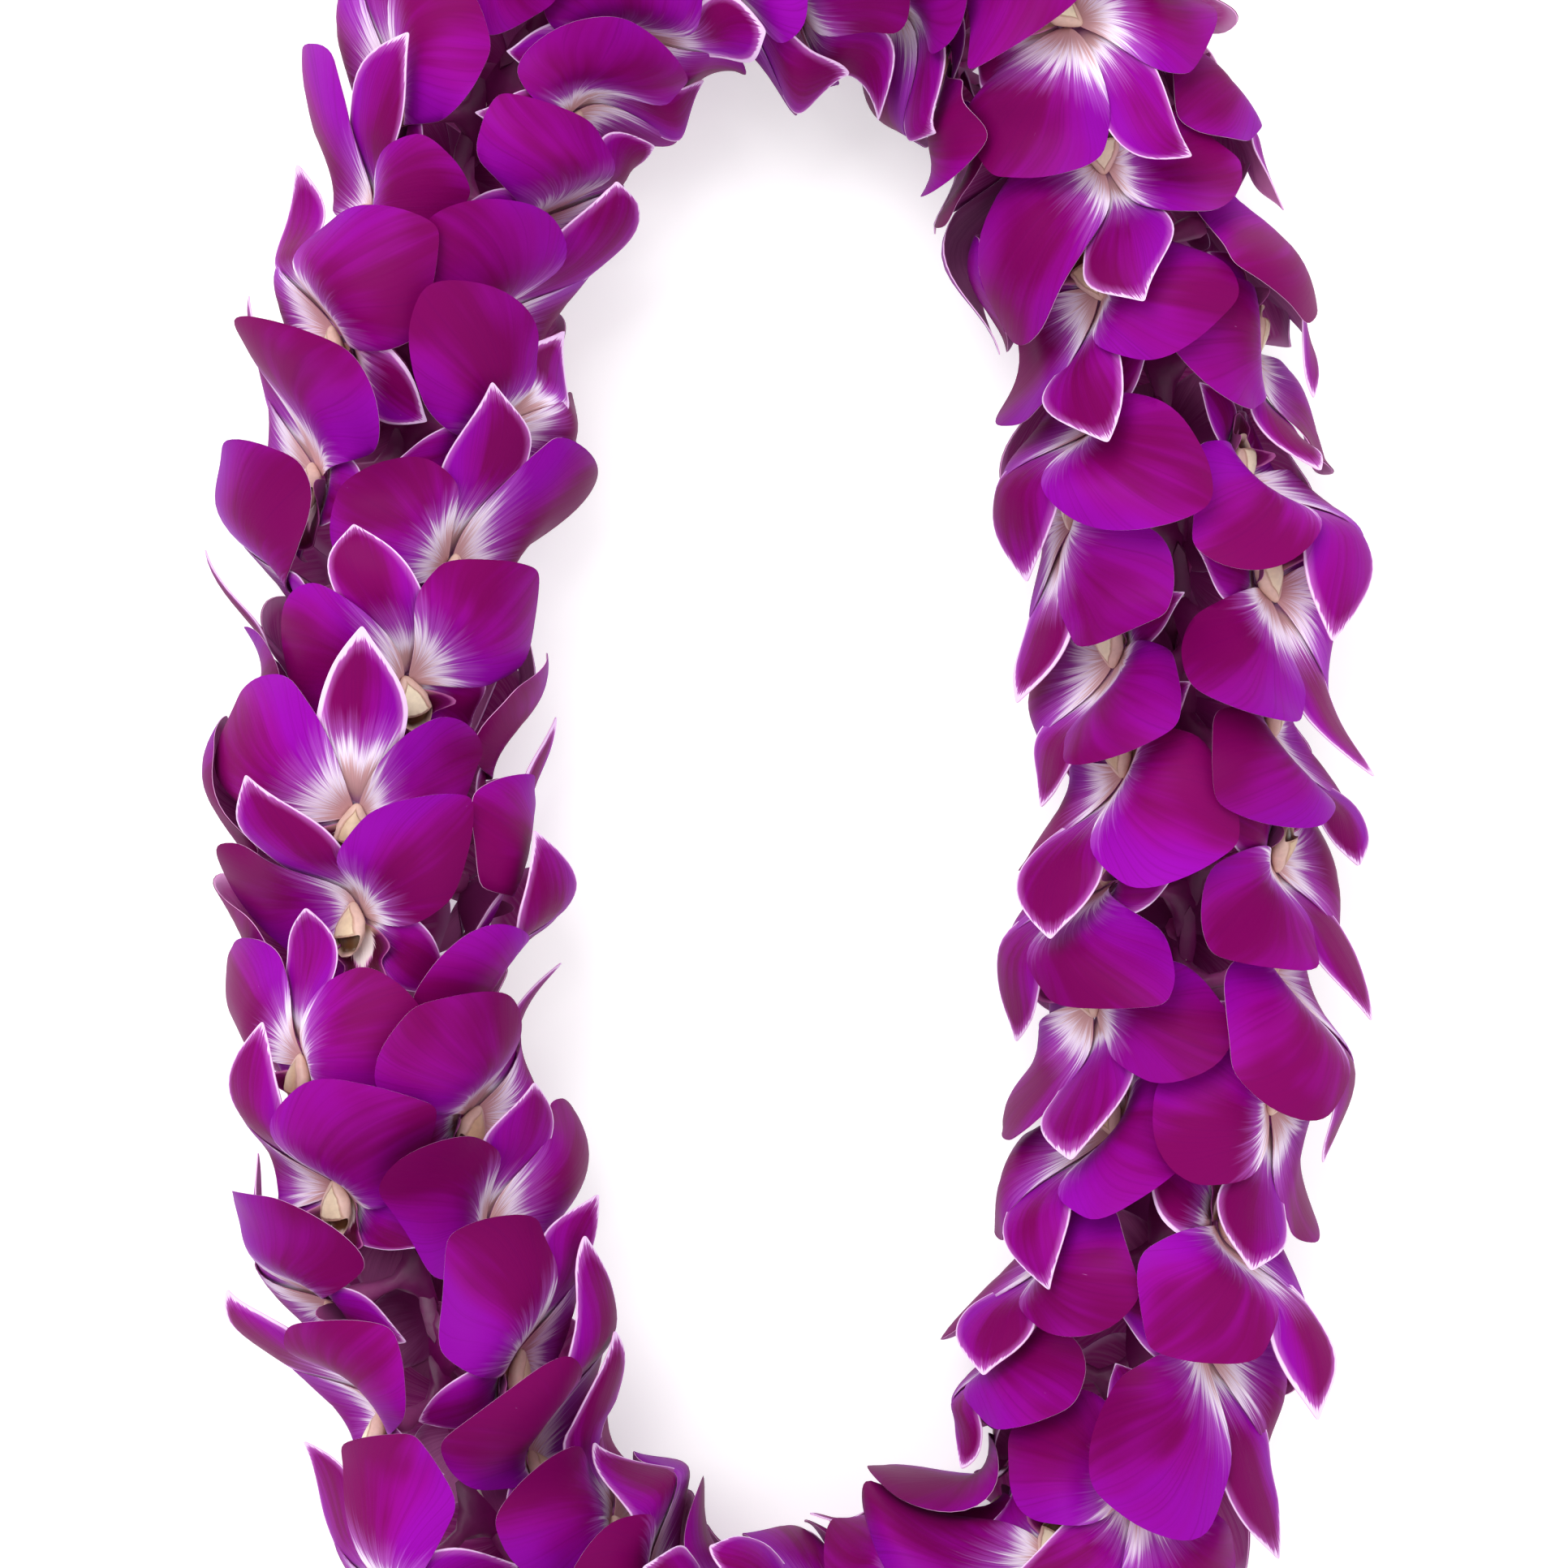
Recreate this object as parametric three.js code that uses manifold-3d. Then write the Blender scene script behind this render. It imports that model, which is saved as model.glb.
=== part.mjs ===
// A fresh flower lei: orchid blooms threaded side by side on a tied loop of thread, laid on a table.
// Millimetres, +Z up. Seen from above the loop is long along Y, and every bloom's back sepal points
// clockwise round it. The origin is under the middle of the lei, on the table.
import * as THREE from 'three';
import { mergeVertices } from 'three/addons/utils/BufferGeometryUtils.js';
import Module from 'manifold-3d';

const wasm = await Module();
wasm.setup();

// The loop that the thread follows, seen from above: two round ends joined by two long, bulging sides
const loopHalfWidth = 89;
const loopHalfLength = 196;
const endRadius = 74;

// How the blooms sit round the thread
const whorlCount = 36;
const bloomsPerWhorl = 3;
const loopTwist = 2 * Math.PI; // the rows of blooms turn once round the thread over the whole loop
const rowWander = 0.45; // radians that the rows swing to and fro on top of that
const wanderWaves = 3;
const throatRadius = 18; // from the thread to a bloom's throat
const faceRadius = 27; // and to the level where its petals spread
const bowlReach = 20; // how far from the throat the face stops rising
const climbHeight = 12; // each bloom leans back over the next one by up to this much
const climbReach = 30;
const forwardReach = 23; // the front of a bloom stops short of the throat of the bloom before it
const wrapRadius = 30; // a petal's sideways reach is bent round the thread at this radius
const bendEase = 0.8; // how much of its true length a petal keeps where the loop bends
const restHeight = 34; // thread above the table, so low that the undermost petals are pressed flat
const thinnest = 0.8; // a petal pressed flat there
const sideLift = 0.3; // how much of its free lift a petal keeps on a bloom that looks sideways

// The strand heaves in soft waves, so that neighbouring blooms tilt this way and that without crossing.
// Each wave has its count along the loop, its count round the thread, and its start
const swellDepth = 4; // nothing nearer to the thread moves
const swellGrowth = 22;
const swellShear = 0.05; // radians that a wave is later per millimetre from the thread
const swellUp = { reach: 3.2, waves: [[18, 1, 5.77], [11, -2, 0.71]] };
const swellAhead = { reach: 1.5, waves: [[13, -2, 5.32], [10, 3, 5.4]] };
const swellRound = { reach: 1.5, waves: [[16, 1, 2.27], [10, -2, 3.79]] };

// One bloom, flat. An organ has its length and half width, rows of points at shares of its length with
// the share of its width at each, its half angle at the throat, its level among the others, the fall of
// its edges, and how far its tip may stand up from its neighbours
const hubRadius = 3.6;
const petalThickness = 1.2;
const organGap = 2; // between the edges of two organs where they leave the hub
const sepal = {
  length: 33,
  halfWidth: 8,
  rows: [0.46, 0.8],
  widths: [1, 0.72],
  spread: 25.5,
  level: -0.6,
  crown: 1,
  lift: 11,
};
const sideSepal = {
  length: 31,
  halfWidth: 8.4,
  rows: [0.44, 0.8],
  widths: [1, 0.68],
  spread: 26.5,
  level: -0.6,
  crown: 1,
  lift: 0,
};
const petal = {
  length: 33,
  halfWidth: 15.4,
  rows: [0.5, 0.85],
  widths: [1, 0.76],
  spread: 37,
  level: 0.6,
  crown: 1.6,
  lift: 6,
};
const lip = {
  length: 16,
  halfWidth: 7,
  rows: [0.55],
  widths: [1],
  spread: 27.5,
  level: 0.4,
  crown: -2.2,
  lift: 0,
};
const organs = [sepal, petal, sideSepal, lip, sideSepal, petal]; // in order round the throat
const columnHeight = 5.5;
const rollSpread = 0.45; // radians that a bloom may be turned about its own face
const placeSpread = 1.2; // along the thread
const angleSpread = 0.18;
const sizeSpread = 0.06; // of a bloom, and again of each organ
const firstOrganTrait = 10; // the numbers before this one are for a bloom's own draws
const traitsPerOrgan = 8;

// The bloom stalks crowded round the thread, and the thread
const coreRadius = 4.6;
const coreRings = [-2, 4.5, 13.5, 20]; // along the thread, from the first bloom's stalk
const stalkLean = 4; // a stalk meets the thread this much clockwise of its throat
const boreRadius = 1.35;
const threadRadius = 0.75;
const threadSides = 8;
const knotRadius = 1.9;
const tailLength = 9;
const tailAngles = [0.5, 2.2];

// The arcs of the loop, clockwise from the middle of the left side
const endCentre = loopHalfLength - endRadius;
const sideRadius =
  (endCentre ** 2 + loopHalfWidth ** 2 - endRadius ** 2) / (2 * (loopHalfWidth - endRadius));
const sideSweep = Math.asin(endCentre / (sideRadius - endRadius));
const sideCentre = sideRadius - loopHalfWidth;
const arcs = [
  { x: sideCentre, y: 0, radius: sideRadius, from: Math.PI, sweep: sideSweep },
  { x: 0, y: endCentre, radius: endRadius, from: Math.PI - sideSweep, sweep: Math.PI - 2 * sideSweep },
  { x: -sideCentre, y: 0, radius: sideRadius, from: sideSweep, sweep: 2 * sideSweep },
  { x: 0, y: -endCentre, radius: endRadius, from: -sideSweep, sweep: Math.PI - 2 * sideSweep },
  { x: sideCentre, y: 0, radius: sideRadius, from: sideSweep - Math.PI, sweep: sideSweep },
];
const loopLength = arcs.reduce((sum, arc) => sum + arc.radius * arc.sweep, 0);
const pitch = loopLength / whorlCount;

// Where the thread is after a length along it, with the outward direction and the bend there
function loopPoint(along) {
  let left = ((along % loopLength) + loopLength) % loopLength;
  for (const arc of arcs) {
    const length = arc.radius * arc.sweep;
    if (left <= length || arc === arcs.at(-1)) {
      const angle = arc.from - left / arc.radius;
      const [nx, ny] = [Math.cos(angle), Math.sin(angle)];
      return { x: arc.x + arc.radius * nx, y: arc.y + arc.radius * ny, nx, ny, bend: 1 / arc.radius };
    }
    left -= length;
  }
}

// A point at a length along the thread, a distance from it and an angle round it: 0 faces out of the loop
function strandPoint(along, radius, angle, floor = 0) {
  const p = loopPoint(along);
  const out = radius * Math.cos(angle);
  return [p.x + out * p.nx, p.y + out * p.ny, Math.max(restHeight + radius * Math.sin(angle), floor)];
}

// The same, heaved by the waves
function swelledPoint(along, radius, angle, floor) {
  const free = smooth((radius - swellDepth) / swellGrowth);
  const heave = ({ reach, waves }) =>
    waves.reduce((sum, [count, turns, start]) => {
      const phase = (2 * Math.PI * count * along) / loopLength + turns * angle + start + swellShear * radius;
      return sum + reach * free * Math.sin(phase);
    }, 0);
  const turned = angle + heave(swellRound) / wrapRadius;
  return strandPoint(along + heave(swellAhead), radius + heave(swellUp), turned, floor);
}

// A repeatable draw from -1 to 1 for one trait of one bloom
function draw(bloom, trait) {
  const x = Math.sin(bloom * 12.9898 + trait * 78.233) * 43758.5453;
  return 2 * (x - Math.floor(x)) - 1;
}

const radians = (degrees) => (degrees * Math.PI) / 180;

const smooth = (x) => {
  const t = Math.min(Math.max(x, 0), 1);
  return t * t * (3 - 2 * t);
};

function bloomPlace(index) {
  const turn = index / (whorlCount * bloomsPerWhorl);
  const along = (index * pitch) / bloomsPerWhorl + placeSpread * draw(index, 1);
  const wander = rowWander * Math.sin(2 * Math.PI * wanderWaves * turn);
  const row = Math.PI / 2 + (2 * Math.PI * index) / bloomsPerWhorl + loopTwist * turn + wander;
  return {
    index,
    along,
    row,
    angle: row + angleSpread * draw(index, 2),
    roll: rollSpread * draw(index, 3),
    size: 1 + sizeSpread * draw(index, 4),
    bend: loopPoint(along).bend,
  };
}

// Bends a point of the flat bloom, sideways, lengthwise and up, to its place round the thread
function bloomPoint(bloom, sideways, lengthwise, up, floor) {
  const angle = bloom.angle + sideways / wrapRadius;
  const stretch = (1 + bloom.bend * faceRadius * Math.cos(angle)) ** bendEase;
  const free = lengthwise / stretch;
  const ahead = free < 0 ? forwardReach * Math.tanh(free / forwardReach) : free;
  const rise = (faceRadius - throatRadius) * smooth(Math.hypot(sideways, lengthwise) / bowlReach);
  const radius = throatRadius + rise + climbHeight * Math.tanh(ahead / climbReach) + up;
  return swelledPoint(bloom.along + ahead, radius, angle, floor);
}

// A closed surface put together from points and triangles
class Surface {
  points = [];
  triangles = [];
  add(point) {
    return this.points.push(point) - 1;
  }
  face(...corners) {
    for (let i = 1; i + 1 < corners.length; i++) this.triangles.push(corners[0], corners[i], corners[i + 1]);
  }
  geometry() {
    const geometry = new THREE.BufferGeometry();
    geometry.setAttribute('position', new THREE.Float32BufferAttribute(this.points.flat(), 3));
    geometry.setIndex(this.triangles);
    return geometry;
  }
}

// One petal, sepal or lip, grown from a side of the hub: thick along its middle, sharp at its edges
function addOrgan(surface, bloom, shape, number, hub) {
  const trait = firstOrganTrait + traitsPerOrgan * number;
  const heading = (hub.right.angle + hub.left.angle) / 2;
  const [cos, sin] = [Math.cos(heading), Math.sin(heading)];
  const length = shape.length * bloom.size * (1 + sizeSpread * draw(bloom.index, trait));
  const halfWidth = shape.halfWidth * bloom.size * (1 + sizeSpread * draw(bloom.index, trait + 1));
  const under = Math.max(-Math.sin(bloom.angle), 0);
  const free = Math.max(sin, 0) * (1 - under);
  const facing = sideLift + (1 - sideLift) * Math.sin(bloom.angle) ** 2;
  const lift = shape.lift * free * facing * (0.5 + 0.5 * draw(bloom.index, trait + 2));
  const place = (share, across, up, floor) => {
    const out = hubRadius + length * share;
    const room = out * Math.tan(radians(shape.spread)) - organGap;
    const side = Math.sign(across) * Math.min(Math.abs(across) * halfWidth, room);
    const [sideways, lengthwise] = [out * cos - side * sin, out * sin + side * cos];
    const rise = shape.level + up + lift * share ** 3 - shape.crown * across * across;
    return surface.add(bloomPoint(bloom, sideways, lengthwise, rise, floor));
  };
  let last = { left: hub.left, right: hub.right };
  shape.rows.forEach((share, i) => {
    const width = shape.widths[i];
    const edges = [place(share, width, 0, 0), place(share, -width, 0, 0)];
    const [left, right] = edges.map((edge) => ({ top: edge, under: edge }));
    const middle = {
      top: place(share, 0, petalThickness / 2, 0),
      under: place(share, 0, -petalThickness / 2, thinnest),
    };
    if (last.middle) {
      surface.face(last.right.top, right.top, middle.top, last.middle.top);
      surface.face(last.middle.top, middle.top, left.top, last.left.top);
      surface.face(last.right.under, last.middle.under, middle.under, right.under);
      surface.face(last.middle.under, last.left.under, left.under, middle.under);
    } else {
      surface.face(last.right.top, right.top, middle.top);
      surface.face(last.right.top, middle.top, last.left.top);
      surface.face(last.left.top, middle.top, left.top);
      surface.face(last.right.under, middle.under, right.under);
      surface.face(last.right.under, last.left.under, middle.under);
      surface.face(last.left.under, left.under, middle.under);
      surface.face(last.right.under, right.top, last.right.top);
      surface.face(last.left.top, left.top, last.left.under);
    }
    last = { left, right, middle };
  });
  const tip = place(1, 0, 0, 0);
  surface.face(last.right.top, tip, last.middle.top);
  surface.face(last.middle.top, tip, last.left.top);
  surface.face(last.middle.under, tip, last.right.under);
  surface.face(last.left.under, tip, last.middle.under);
}

// A bloom: six organs round a hub, the column standing in its middle, and the stalk down to the core
function addBloom(surface, bloom, socket) {
  let angle = Math.PI / 2 - radians(sepal.spread) + bloom.roll;
  const corners = organs.map((shape) => {
    angle += 2 * radians(shape.spread);
    const [x, y] = [hubRadius * Math.cos(angle), hubRadius * Math.sin(angle)];
    return {
      angle,
      top: surface.add(bloomPoint(bloom, x, y, petalThickness / 2)),
      under: surface.add(bloomPoint(bloom, x, y, -petalThickness)),
    };
  });
  const column = surface.add(bloomPoint(bloom, 0, -1, columnHeight));
  organs.forEach((shape, i) => {
    const left = corners[i];
    const right = { ...corners.at(i - 1), angle: left.angle - 2 * radians(shape.spread) };
    addOrgan(surface, bloom, shape, i, { left, right });
    surface.face(right.top, left.top, column);
  });
  // The stalk joins the six corners under the hub to the four of its socket
  const [a, b, c, d, e, f] = [5, 0, 1, 2, 3, 4].map((i) => corners[i].under);
  const [p, q, r, s] = socket;
  surface.face(a, p, q, b);
  surface.face(b, q, c);
  surface.face(c, q, r, d);
  surface.face(d, r, s, e);
  surface.face(e, s, f);
  surface.face(f, s, p, a);
}

// Three blooms round one length of thread, their stalks crowded into a six-sided core with a bore
function whorlSurface(number) {
  const surface = new Surface();
  const blooms = Array.from({ length: bloomsPerWhorl }, (_, i) => bloomPlace(number * bloomsPerWhorl + i));
  const start = number * pitch + stalkLean;
  const sides = 2 * bloomsPerWhorl;
  const ring = (along, radius) =>
    Array.from({ length: sides }, (_, i) =>
      surface.add(strandPoint(along, radius, blooms[0].row + ((i - 0.5) * 2 * Math.PI) / sides)),
    );
  const outer = coreRings.map((offset) => ring(start + offset, coreRadius));
  const [first, final] = [coreRings[0], coreRings.at(-1)];
  const inner = [first, (first + final) / 2, final].map((offset) => ring(start + offset, boreRadius));
  for (let i = 0; i < sides; i++) {
    const j = (i + 1) % sides;
    for (let row = 0; row + 1 < outer.length; row++) {
      const socket = [outer[row + 1][j], outer[row + 1][i], outer[row][i], outer[row][j]];
      if (i === 2 * row) addBloom(surface, blooms[row], socket);
      else surface.face(...socket);
    }
    for (let row = 0; row + 1 < inner.length; row++)
      surface.face(inner[row + 1][i], inner[row + 1][j], inner[row][j], inner[row][i]);
    surface.face(outer[0][i], inner[0][i], inner[0][j], outer[0][j]);
    surface.face(outer.at(-1)[j], inner.at(-1)[j], inner.at(-1)[i], outer.at(-1)[i]);
  }
  return surface;
}

function solidOf(geometry) {
  const bare = geometry.clone();
  bare.deleteAttribute('normal');
  bare.deleteAttribute('uv');
  const merged = mergeVertices(bare, 1e-4);
  return new wasm.Manifold(
    new wasm.Mesh({
      numProp: 3,
      vertProperties: merged.attributes.position.array,
      triVerts: new Uint32Array(merged.index.array),
    }),
  );
}

function geometryOf(solid) {
  const mesh = solid.getMesh();
  const geometry = new THREE.BufferGeometry();
  geometry.setAttribute('position', new THREE.BufferAttribute(mesh.vertProperties, 3));
  geometry.setIndex(new THREE.BufferAttribute(mesh.triVerts, 1));
  return geometry;
}

// The thread, a closed loop with its ends tied between the last whorl and the first
function threadGeometry() {
  const surface = new Surface();
  const middle = stalkLean + (coreRings[0] + coreRings.at(-1)) / 2;
  const steps = 2 * whorlCount;
  const rings = Array.from({ length: steps }, (_, step) =>
    Array.from({ length: threadSides }, (_, side) =>
      surface.add(strandPoint(middle + (step * pitch) / 2, threadRadius, (side * 2 * Math.PI) / threadSides)),
    ),
  );
  rings.forEach((ring, step) => {
    const next = rings[(step + 1) % steps];
    ring.forEach((corner, side) => {
      const other = (side + 1) % threadSides;
      surface.face(corner, ring[other], next[other], next[side]);
    });
  });
  const tieAt = middle - pitch / 2;
  const tie = new THREE.Vector3(...strandPoint(tieAt, 0, 0));
  const knot = new THREE.IcosahedronGeometry(knotRadius, 0).translate(tie.x, tie.y, tie.z);
  let solid = solidOf(surface.geometry()).add(solidOf(knot));
  for (const angle of tailAngles) {
    const end = new THREE.Vector3(...strandPoint(tieAt, tailLength, angle));
    const tail = new THREE.CylinderGeometry(threadRadius, threadRadius, tailLength, threadSides);
    const direction = end.clone().sub(tie).normalize();
    tail.applyQuaternion(new THREE.Quaternion().setFromUnitVectors(new THREE.Vector3(0, 1, 0), direction));
    tail.translate(...tie.clone().add(end).multiplyScalar(0.5).toArray());
    solid = solid.add(solidOf(tail));
  }
  return geometryOf(solid);
}

const petalMaterial = new THREE.MeshStandardMaterial({ color: '#8f1286', roughness: 0.55, metalness: 0 });
const threadMaterial = new THREE.MeshStandardMaterial({ color: '#e9e4d6', roughness: 0.9, metalness: 0 });

const lei = new THREE.Group();
for (let number = 0; number < whorlCount; number++) {
  const whorl = new THREE.Mesh(whorlSurface(number).geometry(), petalMaterial);
  whorl.name = `blooms_${String(number + 1).padStart(2, '0')}`;
  lei.add(whorl);
}
const thread = new THREE.Mesh(threadGeometry(), threadMaterial);
thread.name = 'thread';
lei.add(thread);

// The middle of the lei's box stands over the origin
const box = new THREE.Box3().setFromObject(lei);
lei.position.set(-(box.min.x + box.max.x) / 2, -(box.min.y + box.max.y) / 2, -box.min.z);

export default lei;
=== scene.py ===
# A fresh flower lei: dendrobium orchids threaded on a tied loop, laid on a pale floor.
# Shapes are worked out in millimetres round the thread, and each piece is placed in metres.
import math

import bpy
import numpy as np
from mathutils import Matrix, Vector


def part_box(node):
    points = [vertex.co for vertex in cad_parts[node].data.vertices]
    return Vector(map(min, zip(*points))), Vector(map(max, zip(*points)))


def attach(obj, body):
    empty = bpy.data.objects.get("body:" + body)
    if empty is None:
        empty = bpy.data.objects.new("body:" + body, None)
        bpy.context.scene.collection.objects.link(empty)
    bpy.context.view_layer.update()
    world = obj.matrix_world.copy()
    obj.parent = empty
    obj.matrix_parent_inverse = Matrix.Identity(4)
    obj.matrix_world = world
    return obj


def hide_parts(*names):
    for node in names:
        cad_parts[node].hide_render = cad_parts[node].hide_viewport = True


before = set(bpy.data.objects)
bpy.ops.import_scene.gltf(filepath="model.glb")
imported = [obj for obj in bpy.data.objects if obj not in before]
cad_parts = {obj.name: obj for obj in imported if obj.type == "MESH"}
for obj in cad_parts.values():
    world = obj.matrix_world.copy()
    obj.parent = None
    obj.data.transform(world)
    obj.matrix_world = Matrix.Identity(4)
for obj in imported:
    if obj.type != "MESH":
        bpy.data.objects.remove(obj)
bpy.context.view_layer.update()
mm = 0.001
print("frame loaded")

# The loop of thread and the rows of blooms round it, as in the part
lei = {
    "loopHalfWidth": 89,
    "loopHalfLength": 196,
    "endRadius": 74,
    "restHeight": 34,  # thread above the table
    "threadRadius": 0.75,
    "threadSides": 8,
    "threadStart": 13,
    "threadRingsPerWhorl": 2,
    "whorls": 36,
    "bloomsPerWhorl": 3,
    "loopTwist": 2 * math.pi,  # how far the rows turn round the thread over the whole loop
    "rowWander": 0.45,  # and how far they swing to and fro
    "wanderWaves": 3,
    # How far draws take a bloom's place, angle and roll, and its size and that of its organs
    "placeSpread": 1.2,
    "angleSpread": 0.18,
    "rollSpread": 0.45,
    "sizeSpread": 0.06,
}


# Centre, radius, first angle and sweep of each arc, clockwise from the middle of the left side
def loopArcs():
    endRadius = lei["endRadius"]
    halfWidth = lei["loopHalfWidth"]
    endCentre = lei["loopHalfLength"] - endRadius
    sideRadius = (endCentre**2 + halfWidth**2 - endRadius**2) / (2 * (halfWidth - endRadius))
    sideSweep = math.asin(endCentre / (sideRadius - endRadius))
    sideCentre = sideRadius - halfWidth
    endSweep = math.pi - 2 * sideSweep
    return np.array(
        [
            (sideCentre, 0, sideRadius, math.pi, sideSweep),
            (0, endCentre, endRadius, math.pi - sideSweep, endSweep),
            (-sideCentre, 0, sideRadius, sideSweep, 2 * sideSweep),
            (0, -endCentre, endRadius, -sideSweep, endSweep),
            (sideCentre, 0, sideRadius, sideSweep - math.pi, sideSweep),
        ]
    )


arcs = loopArcs()
arcEnds = np.cumsum(arcs[:, 2] * arcs[:, 4])
loopLength = arcEnds[-1]
pitch = loopLength / lei["whorls"]


def arcAt(along):
    return np.minimum(np.searchsorted(arcEnds, np.mod(along, loopLength)), len(arcs) - 1)


# Points at a length along the thread, a distance from it and an angle round it, where 0 faces outwards
def strandPoint(along, radius, angle):
    along, radius, angle = np.broadcast_arrays(along, radius, angle)
    arc = arcAt(along)
    centreX, centreY, arcRadius, first, sweep = np.moveaxis(arcs[arc], -1, 0)
    turned = first - (np.mod(along, loopLength) - arcEnds[arc] + arcRadius * sweep) / arcRadius
    out = arcRadius + radius * np.cos(angle)
    height = lei["restHeight"] + radius * np.sin(angle)
    return np.stack([centreX + out * np.cos(turned), centreY + out * np.sin(turned), height], axis=-1)


# The part is centred on its own box, so where the loop's centre is shows by the thread
def partOffset():
    rings = lei["threadRingsPerWhorl"]
    steps = lei["threadStart"] + np.arange(rings * lei["whorls"]) * pitch / rings
    angles = np.arange(lei["threadSides"]) * 2 * math.pi / lei["threadSides"]
    points = strandPoint(steps[:, None], lei["threadRadius"], angles[None, :]).reshape(-1, 3)
    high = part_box("thread")[1]
    return np.array([high.x - points[:, 0].max() * mm, high.y - points[:, 1].max() * mm, 0])


offset = partOffset()

# The number of each trait that is drawn for a bloom, then those of its organs in turn
bloomTraits = {"place": 1, "angle": 2, "roll": 3, "size": 4, "stalkBow": 5}
toneTraits = {"column": 98, "bloom": 99, "firstOrgan": 100}
organTraits = ["length", "width", "lift", "wave", "turn", "crown", "point", "sickle"]
firstOrganTrait = 10
drawSteps = {"bloom": 12.9898, "trait": 78.233, "stretch": 43758.5453}


# A repeatable draw from -1 to 1 for one trait of one bloom, from the far digits of a sine
def draw(bloom, trait):
    x = math.sin(bloom * drawSteps["bloom"] + trait * drawSteps["trait"]) * drawSteps["stretch"]
    return 2 * (x - math.floor(x)) - 1


# 0 at one value, 1 at another and smooth between them, whichever is the larger
def ramp(x, zeroAt, oneAt):
    t = np.clip((x - zeroAt) / (oneAt - zeroAt), 0, 1)
    return t * t * (3 - 2 * t)


# A soft ridge, 1 high along its middle
def ridge(x, halfWidth):
    return np.exp(-((x / halfWidth) ** 2))


# A smooth curve through values at the given shares
def curve(shares, values, t):
    shares = np.array(shares, float)
    values = np.array(values, float)
    slopes = np.gradient(values, shares)
    i = np.clip(np.searchsorted(shares, t, side="right") - 1, 0, len(shares) - 2)
    span = shares[i + 1] - shares[i]
    u = (t - shares[i]) / span
    start = values[i] * (2 * u**3 - 3 * u**2 + 1) + values[i + 1] * (3 * u**2 - 2 * u**3)
    return start + span * (slopes[i] * (u**3 - 2 * u**2 + u) + slopes[i + 1] * (u**3 - u**2))


# Where a bloom is along the thread and round it, its roll and size, and how the loop bends there
def bloomPlace(index):
    turn = index / (lei["whorls"] * lei["bloomsPerWhorl"])
    along = index * pitch / lei["bloomsPerWhorl"]
    along = along + lei["placeSpread"] * draw(index, bloomTraits["place"])
    wander = lei["rowWander"] * math.sin(2 * math.pi * lei["wanderWaves"] * turn)
    row = math.pi / 2 + 2 * math.pi * index / lei["bloomsPerWhorl"] + lei["loopTwist"] * turn + wander
    return {
        "index": index,
        "along": along,
        "row": row,
        "angle": row + lei["angleSpread"] * draw(index, bloomTraits["angle"]),
        "roll": lei["rollSpread"] * draw(index, bloomTraits["roll"]),
        "size": 1 + lei["sizeSpread"] * draw(index, bloomTraits["size"]),
        "bend": 1 / arcs[arcAt(along), 2],
    }


# How a flat bloom is bent round the thread
bloomBend = {
    "throatRadius": 18,  # from the thread to a bloom's throat
    "faceRadius": 27,  # and to the level where its petals spread
    "bowlReach": 20,  # how far out from the throat it gets there
    "climbHeight": 12,  # it leans back, with its back sepal high
    "climbReach": 30,
    "forwardReach": 23,  # its lip and side sepals reach no further
    "wrapRadius": 30,
    "bendEase": 0.8,
}
# The whole strand heaves in soft waves, so that neighbouring blooms tilt without crossing
heave = {
    "outward": 3.2,  # how far the blooms heave out and in, and sway along and round the thread
    "along": 1.5,
    "round": 1.5,
    "stillRadius": 4,  # nothing nearer to the thread moves
    "freeRadius": 26,
    "shear": 0.05,  # radians that a wave is later per millimetre from the thread
    # Waves along the loop, waves round the thread and start, by turns for outward, along and round
    "waves": [
        (18, 1, 5.77),
        (13, -2, 5.32),
        (16, 1, 2.27),
        (11, -2, 0.71),
        (10, 3, 5.4),
        (10, -2, 3.79),
    ],
}


def heaved(along, radius, angle):
    free = ramp(radius, heave["stillRadius"], heave["freeRadius"])
    moves = np.zeros((3, *np.shape(radius)))
    for i, (waves, turns, start) in enumerate(heave["waves"]):
        phase = 2 * math.pi * waves * along / loopLength + turns * angle + start
        moves[i % len(moves)] += free * np.sin(phase + heave["shear"] * radius)
    outward, forward, sideways = moves
    angle = angle + heave["round"] * sideways / bloomBend["wrapRadius"]
    return along + heave["along"] * forward, radius + heave["outward"] * outward, angle


# Bends points of the flat bloom, sideways, lengthwise and up, to their place round the thread
def bloomPoint(bloom, sideways, lengthwise, up):
    angle = bloom["angle"] + sideways / bloomBend["wrapRadius"]
    stretch = (1 + bloom["bend"] * bloomBend["faceRadius"] * np.cos(angle)) ** bloomBend["bendEase"]
    free = lengthwise / stretch
    reach = bloomBend["forwardReach"]
    ahead = np.where(free < 0, reach * np.tanh(free / reach), free)
    rise = ramp(np.hypot(sideways, lengthwise), 0, bloomBend["bowlReach"])
    rise = rise * (bloomBend["faceRadius"] - bloomBend["throatRadius"])
    climb = bloomBend["climbHeight"] * np.tanh(ahead / bloomBend["climbReach"])
    radius = bloomBend["throatRadius"] + rise + climb + up
    return strandPoint(*heaved(bloom["along"] + ahead, radius, angle))


# Materials

# A colour as a painter reads it, 0 to 255, made linear
def tint(red, green, blue):
    parts = []
    for value in (red, green, blue):
        share = value / 255
        parts.append(share / 12.92 if share <= 0.04045 else ((share + 0.055) / 1.055) ** 2.4)
    return (*parts, 1)


def newMaterial(name):
    material = bpy.data.materials.new(name)
    material.use_nodes = True
    tree = material.node_tree
    shader = tree.nodes["Principled BSDF"]
    return material, tree, shader


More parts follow.
